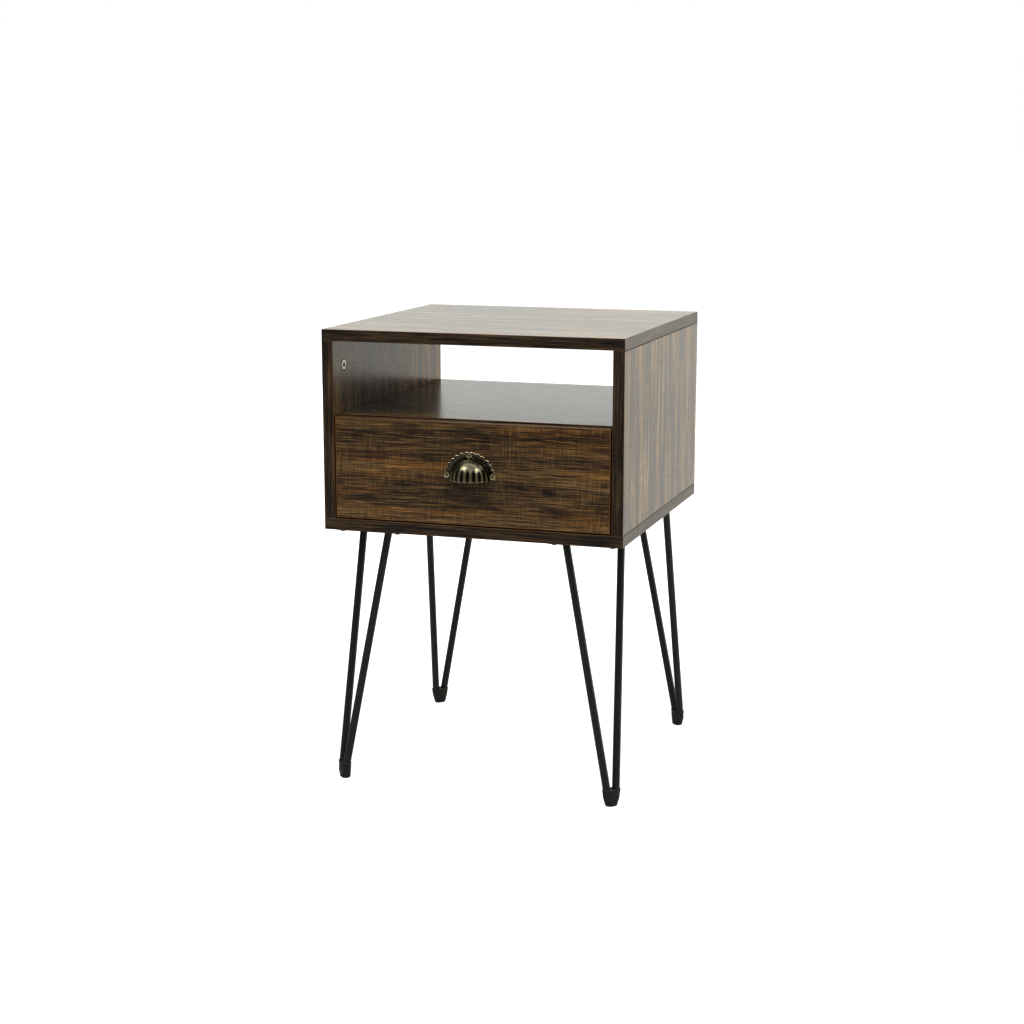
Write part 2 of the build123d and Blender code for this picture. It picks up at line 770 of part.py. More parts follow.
with BuildPart() as drawer_front:
    block(
        (front_low[0] + edge_band, front_low[1], front_low[2] + edge_band),
        (front_high[0] - edge_band, front_high[1], front_high[2] - edge_band),
    )
    block(
        (-drawer_inner_x, drawer_back_y - groove_depth, groove_z),
        (drawer_inner_x, drawer_back_y, groove_z + groove),
        mode=Mode.SUBTRACT,
    )
    cut_bolt_seats(front_cams)
    drill(pull_screw_points, FORWARD, pull_screw / 2 + hole_play, pull_screw_length - pull_flange + depth_play)
save(drawer_front.part, "drawer_front")

save(edge_strips(front_low, front_high, across=0, along=2), "drawer_front_edging")

for side, sign in SIDES.items():
    inner, outer = sorted((sign * drawer_inner_x, sign * drawer_half_width))
    groove_low, groove_high = sorted((sign * drawer_inner_x, sign * (drawer_inner_x + groove_depth)))
    outward = Vector(sign, 0, 0)
    with BuildPart() as drawer_side:
        block((inner, drawer_back_y, drawer_side_z), (outer, drawer_end_y, drawer_side_top_z))
        block(
            (groove_low, drawer_back_y, groove_z),
            (groove_high, drawer_end_y - drawer_board + groove_depth, groove_z + groove),
            mode=Mode.SUBTRACT,
        )
        cut_cam_seats(on_side(front_cams, sign))
        screw_heads = [Vector(sign * drawer_half_width, back_centre_y, z) for z in back_screw_zs]
        with Locations(*[Plane(origin=point, z_dir=outward) for point in screw_heads]):
            CounterSinkHole(back_screw / 2 + hole_play, back_screw_head / 2 + hole_play, drawer_board)
        rail_screw_x = sign * (drawer_half_width - drawer_board / 2)
        screw_points = [Vector(rail_screw_x, y, drawer_side_z) for y in drawer_screw_ys]
        drill(screw_points, DOWN, rail_screw / 2 + hole_play, drawer_base_lift - 1.5)
    save(drawer_side.part, f"drawer_{side}_side")

with BuildPart() as drawer_back:
    block(
        (-drawer_inner_x, drawer_end_y - drawer_board, drawer_side_z),
        (drawer_inner_x, drawer_end_y, drawer_side_top_z),
    )
    block(
        (-drawer_inner_x, drawer_end_y - drawer_board, groove_z),
        (drawer_inner_x, drawer_end_y - drawer_board + groove_depth, groove_z + groove),
        mode=Mode.SUBTRACT,
    )
    for sign in SIDES.values():
        ends = [Vector(sign * drawer_inner_x, back_centre_y, z) for z in back_screw_zs]
        drill(ends, Vector(sign, 0, 0), back_screw / 2 + hole_play, back_screw_length - drawer_board + depth_play)
save(drawer_back.part, "drawer_back")

with BuildPart() as drawer_bottom:
    block(
        (-drawer_inner_x - base_inset, drawer_back_y - base_inset, base_z),
        (drawer_inner_x + base_inset, drawer_end_y - drawer_board + base_inset, base_z + drawer_base),
    )
    for sign in SIDES.values():
        notch_low, notch_high = sorted((sign * drawer_inner_x, sign * (drawer_inner_x + groove_depth)))
        block(
            (notch_low, drawer_back_y - groove_depth, base_z),
            (notch_high, drawer_back_y, base_z + drawer_base),
            mode=Mode.SUBTRACT,
        )
save(drawer_bottom.part, "drawer_bottom")

with BuildPart() as drawer_cam_locks:
    cam_locks(front_cams)
save(drawer_cam_locks.part, "drawer_cam_locks")

with BuildPart() as drawer_cam_bolts:
    cam_bolts(front_cams)
save(drawer_cam_bolts.part, "drawer_cam_bolts")

with BuildPart() as drawer_back_screws:
    for sign in SIDES.values():
        inward = Vector(-sign, 0, 0)
        for z in back_screw_zs:
            head = Vector(sign * drawer_half_width, back_centre_y, z)
            taper = (back_screw_head - back_screw) / 2
            peg(head, inward, back_screw / 2, back_screw_length)
            with Locations(Plane(origin=head, z_dir=-inward)):
                Cone(
                    back_screw / 2,
                    back_screw_head / 2,
                    taper,
                    align=(Align.CENTER, Align.CENTER, Align.MAX),
                )
            cross_recess(head, -inward, back_screw_head / 2, back_screw_slot, back_screw_slot)
save(drawer_back_screws.part, "drawer_back_screws")

# ---------------------------------------------------------------- cup pull
with BuildPart() as cup_pull:
    with BuildSketch(pull_plane):
        Circle(pull_radius - pull_lobe_radius / 2)
        with PolarLocations(pull_radius - pull_lobe_radius, 2 * pull_lobes, start_angle=90 / pull_lobes):
            Circle(pull_lobe_radius)
        Circle(pull_cup_radius - pull_wall, mode=Mode.SUBTRACT)
        with Locations((0, -pull_radius)):
            Rectangle(4 * pull_radius, 2 * pull_radius, mode=Mode.SUBTRACT)
        with Locations(*[pull_plane.to_local_coords(point) for point in pull_screw_points]):
            Circle(pull_screw / 2 + hole_play, mode=Mode.SUBTRACT)
    extrude(amount=pull_flange)
    with BuildSketch(Plane(origin=(0, front_y, pull_z), x_dir=(1, 0, 0), z_dir=(0, 0, 1))):
        with BuildLine():
            outer_curve = EllipticalCenterArc(
                (0, 0), pull_cup_radius, pull_projection, start_angle=270, arc_size=90
            )
            inner_curve = EllipticalCenterArc(
                (0, 0), pull_cup_radius - pull_wall, pull_projection - pull_wall, start_angle=270, arc_size=90
            )
            Line(outer_curve @ 0, inner_curve @ 0)
            Line(outer_curve @ 1, inner_curve @ 1)
        make_face()
    revolve(axis=Axis((0, front_y, pull_z), (0, -1, 0)), revolution_arc=180)
save(cup_pull.part, "cup_pull")

with BuildPart() as cup_pull_screws:
    for point in pull_screw_points:
        headed_screw(
            point + FORWARD * pull_flange,
            BACKWARD,
            pull_screw,
            pull_screw_length,
            pull_screw_head,
            pull_screw_head_height,
        )
save(cup_pull_screws.part, "cup_pull_screws")
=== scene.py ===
import math

import bpy
from mathutils import Matrix, Vector


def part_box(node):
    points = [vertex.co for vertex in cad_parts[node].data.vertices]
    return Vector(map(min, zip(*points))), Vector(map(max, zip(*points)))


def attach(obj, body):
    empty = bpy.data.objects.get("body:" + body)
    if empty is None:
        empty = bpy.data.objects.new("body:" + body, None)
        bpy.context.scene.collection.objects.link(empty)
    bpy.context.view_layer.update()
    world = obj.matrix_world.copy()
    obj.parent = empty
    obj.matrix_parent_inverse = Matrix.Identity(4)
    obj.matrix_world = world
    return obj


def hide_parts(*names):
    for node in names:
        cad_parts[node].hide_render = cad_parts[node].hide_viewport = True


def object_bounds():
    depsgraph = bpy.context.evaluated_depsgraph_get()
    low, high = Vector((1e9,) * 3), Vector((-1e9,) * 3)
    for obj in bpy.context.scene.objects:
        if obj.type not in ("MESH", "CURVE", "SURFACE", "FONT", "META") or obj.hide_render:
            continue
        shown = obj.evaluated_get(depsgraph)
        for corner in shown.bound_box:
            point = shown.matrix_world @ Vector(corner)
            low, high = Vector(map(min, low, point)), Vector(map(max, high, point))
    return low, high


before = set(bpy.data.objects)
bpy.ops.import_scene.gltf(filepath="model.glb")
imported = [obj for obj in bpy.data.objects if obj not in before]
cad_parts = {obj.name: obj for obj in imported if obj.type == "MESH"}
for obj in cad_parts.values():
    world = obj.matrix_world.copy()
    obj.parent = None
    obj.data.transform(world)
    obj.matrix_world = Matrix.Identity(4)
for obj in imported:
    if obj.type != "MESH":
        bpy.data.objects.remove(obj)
cad_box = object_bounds()

# ================================================================ Studio
# A long lens, a little above the table's top and to the right of its front, and a white floor. Softboxes
# behind, and behind to the right, show as a pale sheen on the satin boards. Two small ones, high in front,
# bring out the grain of the drawer front without a glare on it, and one hangs overhead.
camera_place = (0.7911, -2.4452, 0.8367)
camera_turn = 0.315  # radians, from straight at the front towards the left
camera_tilt = 0.191  # radians, downwards
camera_lens = 67.67  # mm, on a 36 mm frame

view_camera = bpy.data.cameras.new("camera")
view_camera.lens = camera_lens
view_camera.sensor_width = 36
camera = bpy.data.objects.new("camera", view_camera)
camera.location = camera_place
camera.rotation_euler = (math.pi / 2 - camera_tilt, 0, camera_turn)
bpy.context.scene.collection.objects.link(camera)
bpy.context.scene.camera = camera
bpy.context.scene.view_settings.view_transform = "Standard"


def add(tree, kind, feeds=None, **settings):
    """Adds a node. settings are its properties, and feeds its inputs, as values or other nodes' outputs."""
    made = tree.nodes.new(kind)
    for name, value in settings.items():
        setattr(made, name, value)
    for socket, value in (feeds or {}).items():
        if isinstance(value, bpy.types.NodeSocket):
            tree.links.new(value, made.inputs[socket])
        else:
            made.inputs[socket].default_value = value
    return made


def linear(hex_colour):
    """A colour written as sRGB hex, as the linear values that a shader takes."""
    parts = [int(hex_colour[i:i + 2], 16) / 255 for i in (1, 3, 5)]
    return [p / 12.92 if p <= 0.04045 else ((p + 0.055) / 1.055) ** 2.4 for p in parts] + [1.0]


def softbox(name, place, aim, width, height, brightness, tint="#FFFFFF"):
    """A flat light that faces a point. Its brightness is that of its own surface, where white paper is 1."""
    lamp = bpy.data.lights.new(name, "AREA")
    lamp.color = linear(tint)[:3]
    lamp.shape = "RECTANGLE"
    lamp.size = width
    lamp.size_y = height
    lamp.energy = brightness * math.pi * width * height
    holder = bpy.data.objects.new(name, lamp)
    holder.location = place
    holder.rotation_euler = (Vector(aim) - Vector(place)).to_track_quat("-Z", "Y").to_euler()
    holder.visible_camera = False
    bpy.context.scene.collection.objects.link(holder)


softbox("overhead_softbox", (0.0, 0.5, 2.9), (0.0, 0.2, 0.0), 2.6, 2.4, 0.9)
softbox("back_softbox", (-1.29, 3.5, 1.3), (-0.39, -0.1, 0.4), 4.4, 2.8, 1.04, "#FBFFF9")
softbox("back_low_softbox", (1.4, 4.0, 0.2), (1.0, 0.0, 0.1), 1.2, 0.6, 0.66, "#FFFCEE")
softbox("right_back_softbox", (3.0, 2.2, 1.0), (0.2, 0.0, 0.4), 3.4, 2.2, 2.5, "#FFFAE0")
softbox("front_left_softbox", (-1.2, -1.5, 2.5), (0.0, 0.0, 0.4), 0.9, 0.9, 8.5)
softbox("front_right_softbox", (1.7, -1.1, 2.5), (0.0, 0.0, 0.4), 0.9, 0.9, 7.5)

# an even light from above, wide enough that the floor keeps only a soft shadow
sky = bpy.data.lights.new("ceiling_light", "SUN")
sky.energy = 1.1
sky.angle = math.radians(80)
ceiling = bpy.data.objects.new("ceiling_light", sky)
ceiling.rotation_euler = (math.radians(14), 0, 0)
bpy.context.scene.collection.objects.link(ceiling)

room_glow = 0.09
room = bpy.data.worlds.new("room")
room.use_nodes = True
room.node_tree.nodes.clear()
glow = add(room.node_tree, "ShaderNodeBackground", {"Color": (1, 1, 0.98, 1), "Strength": room_glow})
backdrop = add(room.node_tree, "ShaderNodeBackground", {"Color": (1, 1, 1, 1), "Strength": 1.0})
seen = add(room.node_tree, "ShaderNodeLightPath").outputs["Is Camera Ray"]
both = add(room.node_tree, "ShaderNodeMixShader", {0: seen, 1: glow.outputs[0], 2: backdrop.outputs[0]})
add(room.node_tree, "ShaderNodeOutputWorld", {"Surface": both.outputs[0]})
bpy.context.scene.world = room


def new_material(name):
    """A material of one principled shader, with its node tree and that shader."""
    material = bpy.data.materials.new(name)
    material.use_nodes = True
    return material, material.node_tree, material.node_tree.nodes["Principled BSDF"]


def deselect_all():
    """Leaves nothing selected, so that the next operator acts on its own piece only."""
    if bpy.context.object and bpy.context.object.mode != "OBJECT":
        bpy.ops.object.mode_set(mode="OBJECT")
    bpy.ops.object.select_all(action="DESELECT")


# Matt background paper with a very faint mottle, white behind the table and grey before it, so that the
# drawer front has nothing bright to reflect. It is lifted to white for the camera only, and is clear from
# below.
floor_side = 120.0
floor_lift = 0.88
deselect_all()
bpy.ops.mesh.primitive_plane_add(size=floor_side, location=(0, 0, 0))
floor = bpy.context.object
floor.name = "studio_floor"
paper, paper_tree, paper_shader = new_material("background_paper")
paper_place = add(paper_tree, "ShaderNodeTexCoord").outputs["Object"]
feeds = {"Vector": paper_place, "Scale": 6.0, "Detail": 3.0}
mottle = add(paper_tree, "ShaderNodeTexNoise", feeds).outputs[0]
paper_axes = add(paper_tree, "ShaderNodeSeparateXYZ", {"Vector": paper_place}).outputs
feeds = {"Value": paper_axes["Y"], "From Min": -0.2, "From Max": 0.9}
behind = add(paper_tree, "ShaderNodeMapRange", feeds).outputs[0]
feeds = {0: mottle, 1: 0.04, 2: behind}
paper_tone = add(paper_tree, "ShaderNodeMath", feeds, operation="MULTIPLY_ADD", use_clamp=True).outputs[0]
feeds = {"Factor": paper_tone, "A": linear("#9B9B9A"), "B": linear("#F8F8F7")}
paper_tint = add(paper_tree, "ShaderNodeMix", feeds, data_type="RGBA")
paper_tree.links.new(paper_tint.outputs["Result"], paper_shader.inputs["Base Color"])
paper_shader.inputs["Roughness"].default_value = 0.9
paper_shader.inputs["Emission Color"].default_value = (1, 1, 1, 1)
paper_seen = add(paper_tree, "ShaderNodeLightPath").outputs["Is Camera Ray"]
feeds = {0: paper_seen, 1: floor_lift}
paper_lift = add(paper_tree, "ShaderNodeMath", feeds, operation="MULTIPLY").outputs[0]
paper_tree.links.new(paper_lift, paper_shader.inputs["Emission Strength"])
below = add(paper_tree, "ShaderNodeNewGeometry").outputs["Backfacing"]
clear = add(paper_tree, "ShaderNodeBsdfTransparent").outputs[0]
sheet = add(paper_tree, "ShaderNodeMixShader", {0: below, 1: paper_shader.outputs[0], 2: clear}).outputs[0]
paper_tree.links.new(sheet, paper_tree.nodes["Material Output"].inputs["Surface"])
floor.data.materials.append(paper)

# ================================================================ Boards
# 15 mm particle board faced with melamine: a printed rustic walnut with dark streaks, warm patches and
# the marks of a coarse saw across the grain, pressed to a satin texture. Grain runs along each board.
mm = 0.001
X, Y, Z = 0, 1, 2


def laid(tree, along, across):
    """Object coordinates in mm, turned so that the first runs along the grain and the second across it."""
    place = add(tree, "ShaderNodeTexCoord").outputs["Object"]
    axes = add(tree, "ShaderNodeSeparateXYZ", {"Vector": place}).outputs
    feeds = {"X": axes[along], "Y": axes[across], "Z": axes[3 - along - across]}
    turned = add(tree, "ShaderNodeCombineXYZ", feeds).outputs[0]
    feeds = {"Vector": turned, "Scale": 1 / mm}
    return add(tree, "ShaderNodeVectorMath", feeds, operation="SCALE").outputs[0]


def streaks(tree, place, length, width, seed, detail=3.0):
    """Noise drawn out along the grain: length and width are the size of its streaks in mm."""
    elsewhere = (seed * 7.3, seed * 3.1, seed * 5.7)
    shrink = (1 / length, 1 / width, 1 / width)
    feeds = {"Vector": place, "Location": elsewhere, "Scale": shrink}
    stretched = add(tree, "ShaderNodeMapping", feeds).outputs[0]
    feeds = {"Vector": stretched, "Scale": 1.0, "Detail": detail, "Roughness": 0.6}
    return add(tree, "ShaderNodeTexNoise", feeds).outputs[0]


def ramp(tree, value, *stops):
    """A colour ramp. Each stop is a place from 0 to 1 and an sRGB hex colour or a grey from 0 to 1."""
    made = add(tree, "ShaderNodeValToRGB", {0: value})
    elements = made.color_ramp.elements
    while len(elements) < len(stops):
        elements.new(1.0)
    for element, (place, colour) in zip(elements, stops):
        element.position = place
        element.color = linear(colour) if isinstance(colour, str) else (colour, colour, colour, 1)
    return made.outputs[0]


def weigh(tree, *parts):
    """The sum of values, each times its weight."""
    total = None
    for value, weight in parts:
        feeds = {0: value, 1: weight, 2: total if total is not None else 0.0}
        total = add(tree, "ShaderNodeMath", feeds, operation="MULTIPLY_ADD").outputs[0]
    return total


def blend_colour(tree, amount, under, over):
    """One colour over another."""
    feeds = {"Factor": amount, "A": under, "B": over}
    return add(tree, "ShaderNodeMix", feeds, data_type="RGBA").outputs["Result"]


def near(tree, value, centre, reach):
    """1 where a value is at the centre, falling to 0 where it is the reach away."""
    feeds = {0: value, 1: centre}
    away = add(tree, "ShaderNodeMath", feeds, operation="SUBTRACT").outputs[0]
    size = add(tree, "ShaderNodeMath", {0: away}, operation="ABSOLUTE").outputs[0]
    feeds = {"Value": size, "From Min": 0.0, "From Max": reach, "To Min": 1.0, "To Max": 0.0}
    return add(tree, "ShaderNodeMapRange", feeds).outputs[0]


def walnut_board(name, along, across, seed, bands=None, warm=0.45, figure=0.28, shaded_seams=(), knot=None):
    """Printed walnut melamine. bands gives the broad streaks across the grain one by one, as (mm, tone)
    pairs.
    warm is how orange its heartwood is, and figure how much of its tone is broad rather than fine. seams are
    where, along the grain, it meets another board: painted shade there, a dark line without gloss for the
    gap between the two. knot is (along, across) in mm."""
    material, tree, shader = new_material(name)
    place = laid(tree, along, across)
    wander = streaks(tree, place, 240, 45, seed + 1)
    drift = add(tree, "ShaderNodeMapRange", {"Value": wander, "To Min": -4.5, "To Max": 4.5}).outputs[0]
    aside = add(tree, "ShaderNodeCombineXYZ", {"Y": drift}).outputs[0]
    bent = add(tree, "ShaderNodeVectorMath", {0: place, 1: aside}, operation="ADD").outputs[0]

    broad = streaks(tree, bent, 200, 12, seed + 2, detail=1.0)
    middle = streaks(tree, bent, 55, 1.5, seed + 3, detail=4.0)
    fine = streaks(tree, bent, 17, 0.8, seed + 4, detail=3.0)
    if bands:
        first, last = bands[0][0], bands[-1][0]
        height = add(tree, "ShaderNodeSeparateXYZ", {"Vector": bent}).outputs[1]
        feeds = {"Value": height, "From Min": first, "From Max": last}
        share = add(tree, "ShaderNodeMapRange", feeds).outputs[0]
        drawn = ramp(tree, share, *[((at - first) / (last - first), tone) for at, tone in bands])
        broad = weigh(tree, (drawn, 0.6), (broad, 0.4))
    tone = weigh(tree, (broad, figure), (middle, 0.7 * (1 - figure)), (fine, 0.3 * (1 - figure)))
    brown = ramp(
        tree,
        tone,
        (0.40, "#100C0A"),
        (0.45, "#261B11"),
        (0.49, "#48331E"),
        (0.53, "#6A4F2F"),
        (0.58, "#8C6B3F"),
        (0.65, "#B08D58"),
    )

    # orange-brown heartwood in long patches
    heart = ramp(
        tree,
        tone,
        (0.40, "#140D09"),
        (0.45, "#30200F"),
        (0.49, "#5C3C1A"),
        (0.53, "#835423"),
        (0.58, "#A66E31"),
        (0.65, "#C08E4E"),
    )
    patch = ramp(tree, streaks(tree, bent, 190, 20, seed + 5), (0.47, 0.0), (0.60, 1.0))
    amount = add(tree, "ShaderNodeMath", {0: patch, 1: warm}, operation="MULTIPLY").outputs[0]
    colour = blend_colour(tree, amount, brown, heart)

    # saw marks: pale and dark hairlines across the grain about 2.5 mm apart, in patches of the paler wood
    saw = streaks(tree, place, 1.15, 22, seed + 6, detail=1.0)
    sawn = ramp(tree, streaks(tree, place, 50, 26, seed + 7), (0.40, 0.15), (0.58, 1.0))
    pale_wood = ramp(tree, tone, (0.44, 0.15), (0.53, 1.0))
    sawn = add(tree, "ShaderNodeMath", {0: sawn, 1: pale_wood}, operation="MULTIPLY").outputs[0]
    marks = ramp(tree, saw, (0.50, 0.0), (0.64, 1.0))
    cuts = ramp(tree, saw, (0.36, 1.0), (0.50, 0.0))
    pale_amount = weigh(tree, (marks, 0.38))
    dark_amount = weigh(tree, (cuts, 0.42))
    pale_amount = add(tree, "ShaderNodeMath", {0: pale_amount, 1: sawn}, operation="MULTIPLY").outputs[0]
    dark_amount = add(tree, "ShaderNodeMath", {0: dark_amount, 1: sawn}, operation="MULTIPLY").outputs[0]
    colour = blend_colour(tree, pale_amount, colour, linear("#A98450"))
    colour = blend_colour(tree, dark_amount, colour, linear("#2A1D12"))

    if knot:
        off = add(tree, "ShaderNodeVectorMath", {0: place, 1: (*knot, 0.0)}, operation="SUBTRACT").outputs[0]
        feeds = {0: off, 1: (0.09, 0.17, 0.0)}
        flat = add(tree, "ShaderNodeVectorMath", feeds, operation="MULTIPLY").outputs[0]
        distance = add(tree, "ShaderNodeVectorMath", {0: flat}, operation="LENGTH").outputs["Value"]
        rough_edge = weigh(tree, (distance, 0.3), (middle, 0.6), (fine, 0.4))
        dark = ramp(tree, rough_edge, (0.66, 0.9), (0.92, 0.0))
        colour = blend_colour(tree, dark, colour, linear("#1B1411"))

    # painted shade: a dark line with no gloss where the board meets another, for the shadow in the gap
    # between them
    if shaded_seams:
        length_place = add(tree, "ShaderNodeSeparateXYZ", {"Vector": place}).outputs[0]
        gloss = 0.5
        for seam in shaded_seams:
            line = near(tree, length_place, seam, 1.7)
            edge = ramp(tree, line, (0.25, 0.0), (0.55, 1.0))
            colour = blend_colour(tree, edge, colour, linear("#20150D"))
            feeds = {0: edge, 1: -0.5, 2: gloss}
            gloss = add(tree, "ShaderNodeMath", feeds, operation="MULTIPLY_ADD", use_clamp=True).outputs[0]
        tree.links.new(gloss, shader.inputs["Specular IOR Level"])

    tree.links.new(colour, shader.inputs["Base Color"])
    feeds = {"Value": middle, "From Min": 0.3, "From Max": 0.7, "To Min": 0.18, "To Max": 0.27}
    tree.links.new(add(tree, "ShaderNodeMapRange", feeds).outputs[0], shader.inputs["Roughness"])
    relief = weigh(tree, (fine, 0.7), (marks, 0.3))
    feeds = {"Height": relief, "Strength": 0.22, "Distance": 0.08 * mm}
    tree.links.new(add(tree, "ShaderNodeBump", feeds).outputs[0], shader.inputs["Normal"])
    shader.inputs["IOR"].default_value = 1.4
    return material


def finish(material, *names):
    """Gives CAD nodes their material."""
    for name in names:
        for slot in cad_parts[name].material_slots:
            slot.material = material


side_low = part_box("left_side_panel")[0].z / mm
side_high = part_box("left_side_panel")[1].z / mm
finish(walnut_board("walnut_melamine_top", X, Y, 3, figure=0.46), "top_panel")
finish(walnut_board("walnut_melamine_bottom", X, Y, 11), "bottom_panel")
shelf_ends = [corner.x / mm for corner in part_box("shelf_panel")]
finish(walnut_board("walnut_melamine_shelf", X, Y, 19, figure=0.4, shaded_seams=shelf_ends), "shelf_panel")
finish(walnut_board("walnut_melamine_back", X, Z, 27), "back_panel")
side_ends = (side_low, side_high)
finish(walnut_board("walnut_melamine_left", Z, Y, 35, shaded_seams=side_ends), "left_side_panel")
right_walnut = walnut_board("walnut_melamine_right", Z, Y, 43, warm=0.2, figure=0.42, shaded_seams=side_ends)
finish(right_walnut, "right_side_panel")

# The drawer front is cut from a board with warm heartwood across its middle, dark streaks above and
# below, a pale streak along its lower edge and one small knot.
front_low, front_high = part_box("drawer_front_edging")
front_foot = front_low.z / mm
front_bands = (
    (front_foot, 0.66),
    (front_foot + 13, 0.72),
    (front_foot + 21, 0.36),
    (front_foot + 36, 0.52),
    (front_foot + 49, 0.40),
    (front_foot + 58, 0.60),
    (front_foot + 70, 0.72),
    (front_foot + 80, 0.48),
    (front_foot + 89, 0.34),
    (front_foot + 97, 0.60),
    (front_foot + 108, 0.48),
    (front_foot + 116, 0.30),
    (front_foot + 126, 0.62),
    (front_foot + 131, 0.66),
)
front_knot = (103.0, front_foot + 48)
front_walnut = walnut_board("walnut_melamine_front", X, Z, 51, bands=front_bands, warm=0.7, knot=front_knot)
finish(front_walnut, "drawer_front")

# ================================================================ Edge strips
# 1 mm strips glued round the boards and trimmed: a straighter, darker print of the same walnut, with a
# thin tan line at each trimmed edge where the strip's core shows. The drawer front's strips are printed
# lighter: a painted highlight for the light caught on their rounded edges.
strip = 1.0  # mm


def walnut_strip(name, along, across, seed, edges, turned_beyond=None, turned_axis=Y, tint="#4A3826"):
    """Printed strip. edges are where the strip is trimmed, in mm across it; strips whose X is beyond
    turned_beyond run along turned_axis instead."""
    material, tree, shader = new_material(name)
    place = laid(tree, along, across)
    if turned_beyond:
        other = laid(tree, turned_axis, across)
        spot = add(tree, "ShaderNodeTexCoord").outputs["Object"]
        sideways = add(tree, "ShaderNodeSeparateXYZ", {"Vector": spot}).outputs[0]
        size = add(tree, "ShaderNodeMath", {0: sideways}, operation="ABSOLUTE").outputs[0]
        feeds = {0: size, 1: turned_beyond * mm}
        beyond = add(tree, "ShaderNodeMath", feeds, operation="GREATER_THAN").outputs[0]
        feeds = {"Factor": beyond, "A": place, "B": other}
        place = add(tree, "ShaderNodeMix", feeds, data_type="VECTOR").outputs["Result"]
    lines = streaks(tree, place, 70, 1.3, seed, detail=4.0)
    patches = streaks(tree, place, 60, 9, seed + 1)
    tone = weigh(tree, (lines, 0.72), (patches, 0.28))
    colour = ramp(tree, tone, (0.40, "#100C08"), (0.48, "#2A1E13"), (0.55, tint), (0.65, "#6E5335"))
    across_place = add(tree, "ShaderNodeSeparateXYZ", {"Vector": place}).outputs[1]
    for edge in edges:
        line = ramp(tree, near(tree, across_place, edge, 1.0), (0.3, 0.0), (0.6, 0.75))
        colour = blend_colour(tree, line, colour, linear("#80542E"))
    tree.links.new(colour, shader.inputs["Base Color"])
    shader.inputs["Roughness"].default_value = 0.36
    shader.inputs["IOR"].default_value = 1.4
    feeds = {"Height": lines, "Strength": 0.3, "Distance": 0.06 * mm}
    tree.links.new(add(tree, "ShaderNodeBump", feeds).outputs[0], shader.inputs["Normal"])
    return material


def heights(name):
    """The lowest and highest Z of a node, in mm."""
    low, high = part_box(name)
    return low.z / mm, high.z / mm


half_width = cad_box[1].x / mm
top_strips = walnut_strip("walnut_strip_top", X, Z, 60, heights("top_edging"), half_width - strip)
finish(top_strips, "top_edging")
bottom_strips = walnut_strip("walnut_strip_bottom", X, Z, 64, heights("bottom_edging"), half_width - strip)
finish(bottom_strips, "bottom_edging")
shelf_strips = walnut_strip("walnut_strip_shelf", X, Z, 68, heights("shelf_edging"))
finish(shelf_strips, "shelf_edging")
for side, seed in (("left", 72), ("right", 76)):
    low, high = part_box(f"{side}_side_edging")
    side_strips = walnut_strip(f"walnut_strip_{side}", Z, X, seed, (low.x / mm, high.x / mm))
    finish(side_strips, f"{side}_side_edging")
front_face = front_low.y / mm
# the lighter tint of the drawer front's strips is a painted highlight on their rounded edges
front_strips = walnut_strip(
    "walnut_strip_front", X, Y, 80, (front_face,), front_high.x / mm - strip, turned_axis=Z, tint="#8A6740"
)
finish(front_strips, "drawer_front_edging")

# ================================================================ Connectors
# Cam locks and plugs are zinc die castings, tumbled to a dull silver and set flush in drilled holes. Bolts,
# screws and rivets are steel with bright zinc plating, and the glued dowels are fluted beech.


def dull_metal(name, dark, light, roughness, grit):
    """Bare or plated metal with a fine uneven sheen. grit is the size of its mottle in mm."""
    material, tree, shader = new_material(name)
    place = add(tree, "ShaderNodeTexCoord").outputs["Object"]
    feeds = {"Vector": place, "Scale": 1 / (grit * mm), "Detail": 3.0}
    mottle = add(tree, "ShaderNodeTexNoise", feeds).outputs[0]
    tree.links.new(ramp(tree, mottle, (0.3, dark), (0.7, light)), shader.inputs["Base Color"])
    shader.inputs["Metallic"].default_value = 1.0
    feeds = {"Value": mottle, "To Min": roughness - 0.08, "To Max": roughness + 0.12}
    tree.links.new(add(tree, "ShaderNodeMapRange", feeds).outputs[0], shader.inputs["Roughness"])
    return material


def cam_metal(name, dark, light, roughness, radius, centres):
    """Cast metal with painted shade: dark and without shine where it meets the edge of its hole, and in a
    round patch over its middle, where the screwdriver's recess is.
    centres are the (Y, Z) places of the faces, in mm."""
    material = dull_metal(name, dark, light, roughness, 1.5)
    tree = material.node_tree
    shader = tree.nodes["Principled BSDF"]
    place = laid(tree, Y, Z)
    flat = add(tree, "ShaderNodeVectorMath", {0: place, 1: (1, 1, 0)}, operation="MULTIPLY").outputs[0]
    closest = None
    for centre in centres:
        feeds = {0: flat, 1: (*centre, 0)}
        away = add(tree, "ShaderNodeVectorMath", feeds, operation="DISTANCE").outputs["Value"]
        if closest:
            away = add(tree, "ShaderNodeMath", {0: away, 1: closest}, operation="MINIMUM").outputs[0]
        closest = away
    # painted shade: a dull dark ring for the gap at the edge of the hole, and a dark round patch for the
    # shade in the cross recess
    ring = ramp(tree, near(tree, closest, radius, 2.4), (0.35, 0.0), (0.6, 1.0))
    recess_shade = ramp(tree, near(tree, closest, 0.0, 4.4), (0.15, 0.0), (0.3, 1.0))
    painted_hole_shade = add(tree, "ShaderNodeMath", {0: ring, 1: recess_shade}, operation="MAXIMUM").outputs[0]
    surface = shader.inputs["Base Color"].links[0].from_socket
    tree.links.new(blend_colour(tree, painted_hole_shade, surface, linear("#1C1A18")), shader.inputs["Base Color"])
    bare = add(tree, "ShaderNodeMath", {0: 1.0, 1: painted_hole_shade}, operation="SUBTRACT").outputs[0]
    tree.links.new(bare, shader.inputs["Metallic"])
    sheen = shader.inputs["Roughness"].links[0].from_socket
    feeds = {"Factor": painted_hole_shade, "A": sheen, "B": 0.95}
    tree.links.new(add(tree, "ShaderNodeMix", feeds).outputs["Result"], shader.inputs["Roughness"])
    return material


